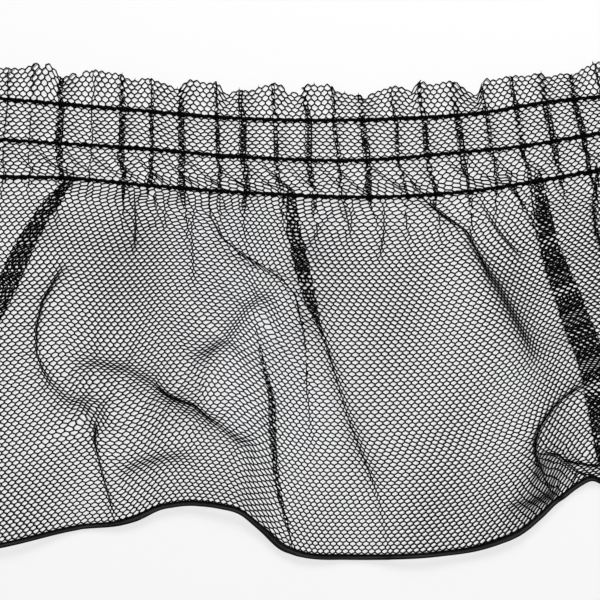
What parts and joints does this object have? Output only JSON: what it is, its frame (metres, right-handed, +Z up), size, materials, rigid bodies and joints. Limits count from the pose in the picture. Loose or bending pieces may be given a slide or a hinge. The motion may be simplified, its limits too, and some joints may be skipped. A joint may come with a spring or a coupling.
{
  "type": "ruffled net trim",
  "caption": "Strip of black hexagonal net gathered by parallel stitched rows into a short frilled header and a full flounce with a satin-bound hem, lying flat.",
  "frame": {"origin": "middle of the bottom of the box around the lying trim", "axes": "+X along the trim, +Y from the bound hem towards the raw frilled edge, +Z up from the surface it lies on"},
  "size_m": [0.1686, 0.1046, 0.0042],
  "materials": {
    "net": "black hexagonal knitted net, dull nylon thread",
    "thread": "black spun sewing thread",
    "satin": "black satin tape with a soft sheen"
  },
  "bodies": {
    "root": {"net_ruffle": "net", "gather_needle_thread_1": "thread", "gather_looper_thread_1": "thread", "gather_needle_thread_2": "thread", "gather_looper_thread_2": "thread", "gather_needle_thread_3": "thread", "gather_looper_thread_3": "thread", "hem_binding": "satin", "hem_needle_thread": "thread", "hem_looper_thread": "thread"}
  },
  "joints": []
}
